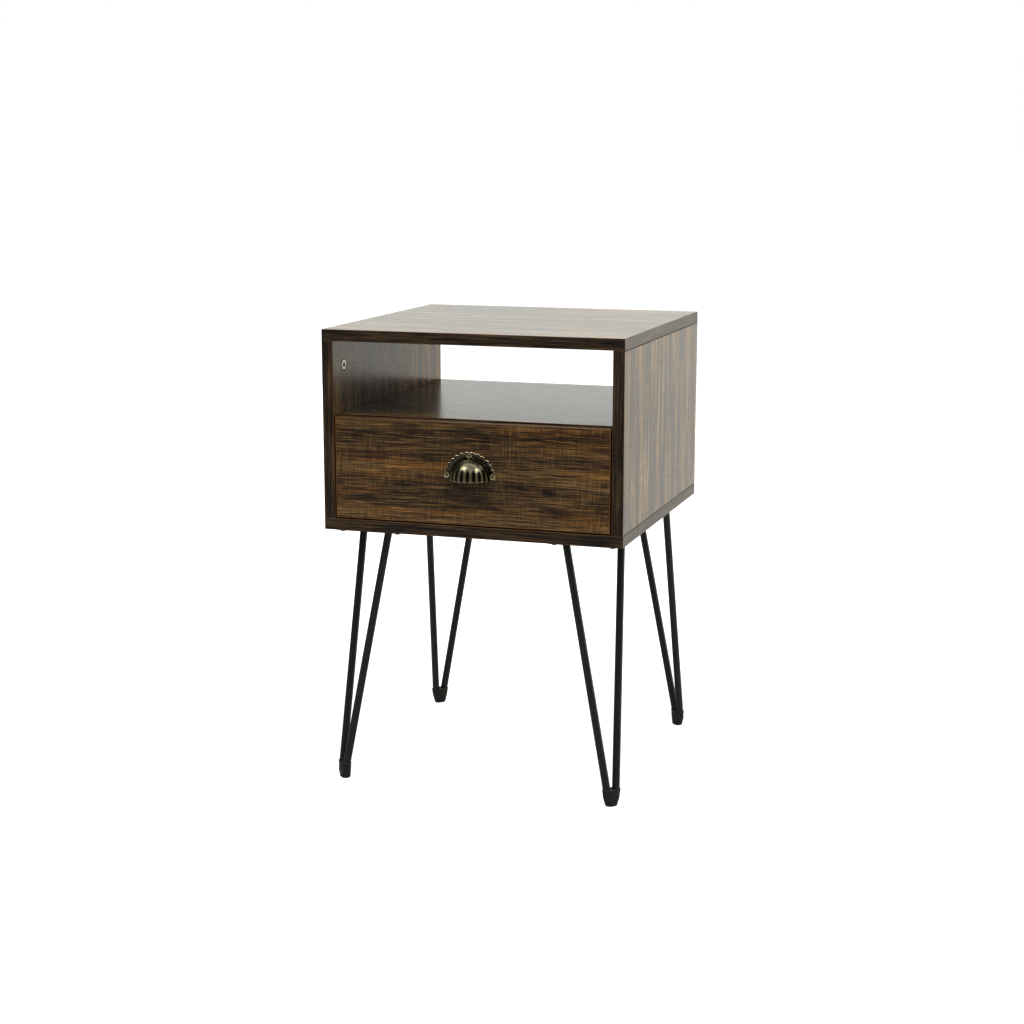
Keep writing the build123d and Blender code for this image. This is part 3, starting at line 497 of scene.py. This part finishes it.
side_front, side_back = (corner.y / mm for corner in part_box("left_side_edging"))
case_middle = (side_front + side_back) / 2
cam_from_edge = 37.0  # from a side panel's front or back edge
cam_from_end = 34.0  # from its upper or lower end
cam_radius = 7.5
cam_columns = (side_front + cam_from_edge, side_back - cam_from_edge)
cam_rows = (side_low + cam_from_end, side_high - cam_from_end)
cam_faces = [(y, z) for y in cam_columns for z in cam_rows]
zinc_casting = cam_metal("zinc_die_casting", "#B4B4B0", "#E8E8E4", 0.3, cam_radius, cam_faces)
plug_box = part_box("side_hole_plugs")
plug_height = (plug_box[0].z + plug_box[1].z) / 2 / mm
plug_radius = 6.0
plug_face = (case_middle, plug_height)
# the plugs take a darker zinc than the cam locks: painted shade, for the shade they sit in on the side
# panels' inner faces
shaded_plug_casting = cam_metal("zinc_plug_painted_shade", "#4A4844", "#7A7872", 0.42, plug_radius, [plug_face])
finish(zinc_casting, "case_cam_locks", "drawer_cam_locks")
finish(shaded_plug_casting, "side_hole_plugs")
zinc_plate = dull_metal("bright_zinc_plating", "#9A9CA0", "#D8DADC", 0.28, 2.0)
finish(zinc_plate, "case_cam_bolts", "drawer_cam_bolts", "case_roller_rivets", "drawer_roller_rivets")
finish(zinc_plate, "leg_screws", "case_rail_screws", "drawer_rail_screws", "drawer_back_screws")

beech, beech_tree, beech_shader = new_material("fluted_beech")
beech_fleck = streaks(beech_tree, laid(beech_tree, X, Z), 6, 0.5, 90)
beech_tree.links.new(
    ramp(beech_tree, beech_fleck, (0.35, "#A87E53"), (0.65, "#D3AE80")), beech_shader.inputs["Base Color"]
)
beech_shader.inputs["Roughness"].default_value = 0.6
finish(beech, "case_dowels")

# ================================================================ Legs
# Hairpin legs bent from 10 mm steel rod and welded to a folded plate, powder coated satin black, with a
# slight orange peel. A black rubber cap is pushed over each foot.
corners = ("front_left", "front_right", "back_left", "back_right")


def powder_coat(name, colour, pale, roughness):
    """Baked powder paint: an even colour with a soft orange peel about 1.5 mm across."""
    material, tree, shader = new_material(name)
    place = add(tree, "ShaderNodeTexCoord").outputs["Object"]
    feeds = {"Vector": place, "Scale": 1 / (1.5 * mm), "Detail": 2.0}
    peel = add(tree, "ShaderNodeTexNoise", feeds).outputs[0]
    tree.links.new(ramp(tree, peel, (0.35, colour), (0.7, pale)), shader.inputs["Base Color"])
    shader.inputs["Roughness"].default_value = roughness
    feeds = {"Height": peel, "Strength": 0.25, "Distance": 0.05 * mm}
    tree.links.new(add(tree, "ShaderNodeBump", feeds).outputs[0], shader.inputs["Normal"])
    return material


black_coat = powder_coat("satin_black_powder_coat", "#141716", "#1E2220", 0.38)
for corner in corners:
    finish(black_coat, f"{corner}_leg_rod", f"{corner}_leg_plate")

rubber, rubber_tree, rubber_shader = new_material("moulded_black_rubber")
rubber_place = add(rubber_tree, "ShaderNodeTexCoord").outputs["Object"]
feeds = {"Vector": rubber_place, "Scale": 260.0, "Detail": 4.0}
bloom = add(rubber_tree, "ShaderNodeTexNoise", feeds).outputs[0]
rubber_tone = ramp(rubber_tree, bloom, (0.35, "#1B1C19"), (0.7, "#2B2C28"))
rubber_tree.links.new(rubber_tone, rubber_shader.inputs["Base Color"])
rubber_shader.inputs["Roughness"].default_value = 0.62
feeds = {"Height": bloom, "Strength": 0.2, "Distance": 0.06 * mm}
rubber_tree.links.new(add(rubber_tree, "ShaderNodeBump", feeds).outputs[0], rubber_shader.inputs["Normal"])


def pick(piece, wanted):
    """In edit mode, selects the vertices of the piece whose place passes the test."""
    bpy.ops.mesh.select_mode(type="VERT")
    bpy.ops.mesh.select_all(action="DESELECT")
    bpy.ops.object.mode_set(mode="OBJECT")
    for vertex in piece.data.vertices:
        vertex.select = bool(wanted(vertex.co))
    bpy.ops.object.mode_set(mode="EDIT")


def shade(piece, material, angle=35):
    """Leaves edit mode with normals outward, gives the material and smooths all but the sharp edges."""
    bpy.ops.mesh.select_all(action="SELECT")
    bpy.ops.mesh.normals_make_consistent(inside=False)
    bpy.ops.object.mode_set(mode="OBJECT")
    if not piece.data.materials:
        piece.data.materials.append(material)
    bpy.ops.object.shade_smooth_by_angle(angle=math.radians(angle))


def copy_to(piece, name, place, turn):
    """A copy with its own mesh, turned about Z and moved, with both left in the mesh."""
    made = piece.copy()
    made.data = piece.data.copy()
    made.name = name
    bpy.context.scene.collection.objects.link(made)
    made.data.transform(Matrix.Translation(place) @ Matrix.Rotation(turn, 4, "Z"))
    return made


# The cap: a chamfered sole, sides that widen as the two rods part, and a rolled lip round the top.
cap_levels = (
    (0.0, 14.6, 10.6),
    (1.3, 16.6, 12.6),
    (12.8, 23.6, 13.0),
    (19.4, 25.2, 13.0),
    (20.2, 25.9, 13.6),
    (21.4, 25.9, 13.6),
    (22.0, 25.0, 12.8),
)
rim_dip = 0.5
deselect_all()
_, cap_long, cap_wide = cap_levels[0]
bpy.ops.mesh.primitive_circle_add(
    vertices=36,
    radius=cap_wide * mm / 2,
    fill_type="NGON",
    rotation=(0, 0, math.radians(5)),
    location=(0, 0, 0),
)
cap = bpy.context.object
bpy.ops.object.transform_apply(location=True, rotation=True, scale=True)
bpy.ops.object.mode_set(mode="EDIT")
for side in (-1, 1):
    pick(cap, lambda at: at.x * side > 0)
    bpy.ops.transform.translate(value=(side * (cap_long - cap_wide) * mm / 2, 0, 0))
bpy.ops.mesh.select_all(action="SELECT")
for (z0, long0, wide0), (z1, long1, wide1) in zip(cap_levels, cap_levels[1:]):
    bpy.ops.mesh.extrude_region_move(TRANSFORM_OT_translate={"value": (0, 0, (z1 - z0) * mm)})
    bpy.ops.transform.resize(value=(long1 / long0, wide1 / wide0, 1), center_override=(0, 0, z1 * mm))
bpy.ops.mesh.inset(thickness=1.0 * mm)
bpy.ops.transform.translate(value=(0, 0, -rim_dip * mm))
shade(cap, rubber)
for corner in corners:
    low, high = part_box(f"{corner}_foot")
    middle_x, middle_y = (low.x + high.x) / 2, (low.y + high.y) / 2
    outward = 1 if (middle_x > 0) == (middle_y > 0) else -1
    foot = copy_to(cap, f"{corner}_cap", (middle_x, middle_y, 0), -outward * math.radians(45))
    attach(foot, "cabinet")
    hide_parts(f"{corner}_foot")
bpy.data.objects.remove(cap)

# A bead of weld runs round each rod where it meets its plate.
bead_round = 5.5
bead_thick = 1.3
bead_below = 0.6  # the plate
runs_parted = 0.15  # m from the middle: each leg has one run further out than this and one nearer
deselect_all()
bpy.ops.mesh.primitive_torus_add(
    major_radius=bead_round * mm,
    minor_radius=bead_thick * mm,
    major_segments=28,
    minor_segments=10,
    location=(0, 0, 0),
)
bead = bpy.context.object
bead.data.materials.append(black_coat)
bpy.ops.object.shade_smooth()
for corner in corners:
    plate_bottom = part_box(f"{corner}_leg_plate")[0].z
    rod_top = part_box(f"{corner}_leg_rod")[1].z
    rod_points = [
        vertex.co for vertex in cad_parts[f"{corner}_leg_rod"].data.vertices
        if vertex.co.z > rod_top - 0.3 * mm
    ]
    for number, outer in enumerate((True, False)):
        chosen = [p for p in rod_points if (abs(p.x) > runs_parted) == outer]
        x = sum(p.x for p in chosen) / len(chosen)
        y = sum(p.y for p in chosen) / len(chosen)
        weld = copy_to(bead, f"{corner}_weld_{number + 1}", (x, y, plate_bottom - bead_below * mm), 0)
        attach(weld, "cabinet")
bpy.data.objects.remove(bead)

# ================================================================ Roller slides
# Rails folded from steel sheet with a white epoxy coat, and nylon rollers on steel rivets. One rail of a
# pair is screwed to the case and the other to the drawer.
white_coat = powder_coat("white_epoxy_coat", "#D2D0C8", "#E2E0D9", 0.32)
finish(white_coat, "left_case_rail", "right_case_rail", "left_drawer_rail", "right_drawer_rail")

nylon, nylon_tree, nylon_shader = new_material("white_nylon")
nylon_place = add(nylon_tree, "ShaderNodeTexCoord").outputs["Object"]
feeds = {"Vector": nylon_place, "Scale": 180.0, "Detail": 2.0}
cloud = add(nylon_tree, "ShaderNodeTexNoise", feeds).outputs[0]
nylon_tone = ramp(nylon_tree, cloud, (0.35, "#D9D6CC"), (0.7, "#E8E6DE"))
nylon_tree.links.new(nylon_tone, nylon_shader.inputs["Base Color"])
nylon_shader.inputs["Roughness"].default_value = 0.42
finish(nylon, "left_case_roller", "right_case_roller", "left_drawer_roller", "right_drawer_roller")

# ================================================================ Drawer box
# Sides and back of thin board wrapped in a plain brown foil, and a hardboard bottom slid into grooves. Cam
# locks hold the sides to the drawer front, and screws hold them to the back.


def wrapped_board(name, along, across, seed):
    """Foil with a quiet straight grain."""
    material, tree, shader = new_material(name)
    place = laid(tree, along, across)
    lines = streaks(tree, place, 120, 2.2, seed)
    patches = streaks(tree, place, 200, 16, seed + 1)
    tone = weigh(tree, (lines, 0.5), (patches, 0.5))
    tree.links.new(
        ramp(tree, tone, (0.36, "#4A3524"), (0.5, "#624831"), (0.64, "#7A5C40")), shader.inputs["Base Color"]
    )
    shader.inputs["Roughness"].default_value = 0.45
    feeds = {"Height": lines, "Strength": 0.25, "Distance": 0.05 * mm}
    tree.links.new(add(tree, "ShaderNodeBump", feeds).outputs[0], shader.inputs["Normal"])
    return material


finish(wrapped_board("brown_foil_sides", Y, Z, 101), "drawer_left_side", "drawer_right_side")
finish(wrapped_board("brown_foil_back", X, Z, 105), "drawer_back")

hardboard, hardboard_tree, hardboard_shader = new_material("smooth_hardboard")
hardboard_place = laid(hardboard_tree, X, Y)
fibres = streaks(hardboard_tree, hardboard_place, 3.0, 1.5, 110, detail=4.0)
clouds = streaks(hardboard_tree, hardboard_place, 60, 45, 111)
hardboard_tone = weigh(hardboard_tree, (fibres, 0.6), (clouds, 0.4))
hardboard_tree.links.new(
    ramp(hardboard_tree, hardboard_tone, (0.35, "#5B3F27"), (0.5, "#7A583A"), (0.65, "#94704C")),
    hardboard_shader.inputs["Base Color"],
)
hardboard_shader.inputs["Roughness"].default_value = 0.55
finish(hardboard, "drawer_bottom")

# ================================================================ Cup pull
# A shell pull pressed from brass sheet and dipped dark, then rubbed back, so that the scalloped rim, the
# ridges of the cup and its lip are bright and the hollows stay brown-black. Three round-head screws.
cup_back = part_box("drawer_front")[0].y
cup_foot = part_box("cup_pull")[0].z
cup_middle = Vector((0, cup_back, cup_foot))
cup_radius = 26.5
cup_reach = 22.4
cup_wall = 1.3
flute_step = 18.0  # degrees
flute_depth = 1.2


def rubbed_brass(name, bright, wear=0.35):
    """Dark oxidised brass that takes the bright value as where it has been rubbed back to metal, with
    patches of wear."""
    material, tree, shader = new_material(name)
    place = add(tree, "ShaderNodeTexCoord").outputs["Object"]
    feeds = {"Vector": place, "Scale": 1 / (2.2 * mm), "Detail": 4.0}
    worn = add(tree, "ShaderNodeTexNoise", feeds).outputs[0]
    amount = bright(tree, place)
    feeds = {0: worn, 1: wear, 2: -wear / 2}
    patchy = add(tree, "ShaderNodeMath", feeds, operation="MULTIPLY_ADD").outputs[0]
    amount = add(tree, "ShaderNodeMath", {0: amount, 1: patchy}, operation="ADD", use_clamp=True).outputs[0]
    colour = ramp(tree, amount, (0.10, "#23211E"), (0.38, "#4F4B42"), (0.62, "#98906F"), (0.95, "#E2D5A4"))
    tree.links.new(colour, shader.inputs["Base Color"])
    shader.inputs["Metallic"].default_value = 1.0
    feeds = {"Value": worn, "From Min": 0.3, "From Max": 0.7, "To Min": 0.17, "To Max": 0.28}
    tree.links.new(add(tree, "ShaderNodeMapRange", feeds).outputs[0], shader.inputs["Roughness"])
    return material


def evenly(value):
    """The same brightness everywhere."""
    return lambda tree, place: add(tree, "ShaderNodeMath", {0: value, 1: 0.0}, operation="ADD").outputs[0]


def fluted(tree, place):
    """Bright on the ridges of the cup's lower half and along its lip."""
    feeds = {0: place, 1: tuple(cup_middle)}
    local = add(tree, "ShaderNodeVectorMath", feeds, operation="SUBTRACT").outputs[0]
    axes = add(tree, "ShaderNodeSeparateXYZ", {"Vector": local}).outputs
    feeds = {0: axes["Y"], 1: -cup_radius / cup_reach}
    forward = add(tree, "ShaderNodeMath", feeds, operation="MULTIPLY").outputs[0]
    turn = add(tree, "ShaderNodeMath", {0: axes["X"], 1: forward}, operation="ARCTAN2").outputs[0]
    feeds = {0: turn, 1: 360 / flute_step}
    phase = add(tree, "ShaderNodeMath", feeds, operation="MULTIPLY").outputs[0]
    wave = add(tree, "ShaderNodeMath", {0: phase}, operation="COSINE").outputs[0]
    feeds = {"Value": axes["Z"], "From Min": 15 * mm, "From Max": 9 * mm, "To Min": 0.0, "To Max": 0.42}
    low = add(tree, "ShaderNodeMapRange", feeds).outputs[0]
    feeds = {"Value": axes["Z"], "From Min": 0.6 * mm, "From Max": 0.0, "To Min": 0.0, "To Max": 0.5}
    lip = add(tree, "ShaderNodeMapRange", feeds).outputs[0]
    ridge = add(tree, "ShaderNodeMath", {0: wave, 1: low, 2: 0.46}, operation="MULTIPLY_ADD").outputs[0]
    return add(tree, "ShaderNodeMath", {0: ridge, 1: lip}, operation="ADD").outputs[0]


cup_brass = rubbed_brass("rubbed_brass_cup", fluted, wear=0.14)
rim_brass = rubbed_brass("rubbed_brass_rim", evenly(0.85))
flange_brass = rubbed_brass("oxidised_brass_flange", evenly(0.4), wear=0.1)
screw_brass = rubbed_brass("rubbed_brass_screws", evenly(0.9))

# the cup: the upper front quarter of a ball, drawn in between the flutes, with a small rolled lip
deselect_all()
bpy.ops.mesh.primitive_uv_sphere_add(segments=80, ring_count=32, radius=cup_radius * mm, location=cup_middle)
cup = bpy.context.object
bpy.ops.object.transform_apply(location=True, rotation=True, scale=True)
bpy.ops.object.mode_set(mode="EDIT")
bpy.ops.transform.resize(value=(1, cup_reach / cup_radius, 1), center_override=cup_middle)
pick(cup, lambda at: at.z < cup_middle.z - 0.1 * mm or at.y > cup_middle.y + 0.1 * mm)
bpy.ops.mesh.delete(type="VERT")


def cup_turn(at):
    """Degrees round the cup from straight forward."""
    return math.degrees(math.atan2(at.x, (cup_middle.y - at.y) * cup_radius / cup_reach))


def off_ridge(at):
    """0 on a ridge, 0.5 in the hollow between two."""
    share = (cup_turn(at) / flute_step) % 1
    return min(share, 1 - share)


flute_rings = 7
ring_angle = math.radians(180 / 32)
for ring in range(flute_rings):
    ring_height = cup_middle.z + cup_radius * mm * math.sin(ring * ring_angle)
    fade = 0.5 + 0.5 * math.cos(math.pi * ring / flute_rings)
    for share, depth in ((0.5, -1.0), (0.25, -0.35), (0.0, 0.3)):
        pick(
            cup,
            lambda at: abs(at.z - ring_height) < 0.2 * mm
            and abs(off_ridge(at) - share) < 0.05
            and at.y < cup_middle.y - 0.5 * mm,
        )
        bpy.ops.transform.shrink_fatten(value=depth * flute_depth * fade * mm)
pick(cup, lambda at: at.z < cup_middle.z + 0.2 * mm)
bpy.ops.mesh.extrude_edges_move(TRANSFORM_OT_translate={"value": (0, 0, -0.5 * mm)})
bpy.ops.transform.resize(value=(1.02, 1.02, 1), center_override=cup_middle)
bpy.ops.mesh.extrude_edges_move(TRANSFORM_OT_translate={"value": (0, 0, -0.6 * mm)})
shade(cup, cup_brass, angle=180)
thicken = cup.modifiers.new("sheet", "SOLIDIFY")
thicken.thickness = cup_wall * mm
thicken.offset = -1
bpy.ops.object.modifier_apply(modifier=thicken.name)
round_off = cup.modifiers.new("rounding", "SUBSURF")
round_off.levels = round_off.render_levels = 1
bpy.ops.object.modifier_apply(modifier=round_off.name)
cup.name = "pull_cup"
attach(cup, "drawer")
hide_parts("cup_pull")

# the flange: a half ring with fourteen scallops and a raised, rubbed rim
flange_radius = 35.0
flange_thick = 1.1
rim_step = 0.5
lobes = 14
lobe_radius = 4.2
lobe_parts = 8


def scallop(part):
    """How far the rim is from the pull's middle. part counts from the notch between two lobes."""
    off = math.pi / lobes / 2 * (1 - part / (lobe_parts / 2))
    centre = flange_radius - lobe_radius
    return centre * math.cos(off) + math.sqrt(lobe_radius**2 - (centre * math.sin(off)) ** 2)


def lobe_part(at):
    """Which vertex of its lobe this is, counted from the nearer notch."""
    turn = math.atan2(at.z - cup_middle.z, at.x) / math.pi * lobes * lobe_parts
    part = round(turn) % lobe_parts
    return min(part, lobe_parts - part)


deselect_all()
bpy.ops.mesh.primitive_circle_add(
    vertices=2 * lobes * lobe_parts,
    radius=flange_radius * mm,
    location=cup_middle + Vector((0, -(flange_thick + rim_step) * mm, 0)),
    rotation=(math.pi / 2, 0, 0),
)
flange = bpy.context.object
bpy.ops.object.transform_apply(location=True, rotation=True, scale=True)
bpy.ops.object.mode_set(mode="EDIT")
pick(flange, lambda at: at.z < cup_middle.z - 0.1 * mm)
bpy.ops.mesh.delete(type="VERT")
for part in range(lobe_parts // 2 + 1):
    pick(flange, lambda at: lobe_part(at) == part)
    size = scallop(part) / flange_radius
    bpy.ops.transform.resize(value=(size, 1, size), center_override=cup_middle)
bpy.ops.mesh.select_all(action="SELECT")
for reach_before, reach_after, back in ((35.0, 34.1, 0.0), (34.1, 33.7, rim_step), (33.7, 23.0, 0.0)):
    bpy.ops.mesh.extrude_edges_move(TRANSFORM_OT_translate={"value": (0, back * mm, 0)})
    size = reach_after / reach_before
    bpy.ops.transform.resize(value=(size, 1, size), center_override=cup_middle)
flange.data.materials.append(flange_brass)
flange.data.materials.append(rim_brass)
pick(flange, lambda at: (at - cup_middle).length > 29 * mm)
flange.active_material_index = 1
bpy.ops.object.material_slot_assign()
shade(flange, flange_brass, angle=40)
if flange.data.polygons[0].normal.y > 0:
    flange.data.flip_normals()
thicken = flange.modifiers.new("sheet", "SOLIDIFY")
thicken.thickness = flange_thick * mm
thicken.offset = -1
bpy.ops.object.modifier_apply(modifier=thicken.name)
flange.name = "pull_flange"
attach(flange, "drawer")

# round-head screws with a cross recess, black inside: a square of small faces made round, hollowed in a
# cross and domed, with its edge drawn back to the flange
screw_head = 6.2
screw_rise = 1.5
screw_ring = 30.5
recess_depth = 0.9
cell = screw_head / 8
deselect_all()
bpy.ops.mesh.primitive_grid_add(x_subdivisions=8, y_subdivisions=8, size=screw_head * mm, location=(0, 0, 0))
screw = bpy.context.object
screw.data.materials.append(screw_brass)
screw.data.materials.append(flange_brass)
bpy.ops.object.mode_set(mode="EDIT")
for ring in (4, 3, 2):
    pick(screw, lambda at: abs(max(abs(at.x), abs(at.y)) / cell / mm - ring) < 0.1)
    bpy.ops.transform.tosphere(value=1 if ring > 2 else 0.4)
pick(screw, lambda at: math.hypot(at.x, at.y) > 3.9 * cell * mm)
bpy.ops.mesh.extrude_edges_move(TRANSFORM_OT_translate={"value": (0, 0, -screw_rise * mm)})
bpy.ops.mesh.edge_face_add()
pick(screw, lambda at: at.z > -0.1 * mm and math.hypot(at.x, at.y) < 3.6 * cell * mm)
bpy.ops.transform.translate(value=(0, 0, 0.4 * mm))
pick(
    screw,
    lambda at: at.z > 0.1 * mm
    and min(abs(at.x), abs(at.y)) < 1.2 * cell * mm
    and max(abs(at.x), abs(at.y)) < 2.3 * cell * mm,
)
screw.active_material_index = 1
bpy.ops.object.material_slot_assign()
bpy.ops.mesh.extrude_region_move(TRANSFORM_OT_translate={"value": (0, 0, -recess_depth * mm)})
bpy.ops.transform.resize(value=(0.8, 0.8, 1))
shade(screw, screw_brass, angle=50)
for number, turn in enumerate((8.5, 90.0, 171.5)):
    head = screw.copy()
    head.data = screw.data.copy()
    head.name = f"pull_screw_{number + 1}"
    bpy.context.scene.collection.objects.link(head)
    place = cup_middle + Vector(
        (
            screw_ring * mm * math.cos(math.radians(turn)),
            -(flange_thick + screw_rise) * mm,
            screw_ring * mm * math.sin(math.radians(turn)),
        )
    )
    facing = Matrix.Rotation(math.pi / 2, 4, "X") @ Matrix.Rotation(math.radians(20 + 35 * number), 4, "Z")
    head.data.transform(Matrix.Translation(place) @ facing)
    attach(head, "drawer")
    if number == 0:
        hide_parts("cup_pull_screws")
bpy.data.objects.remove(screw)
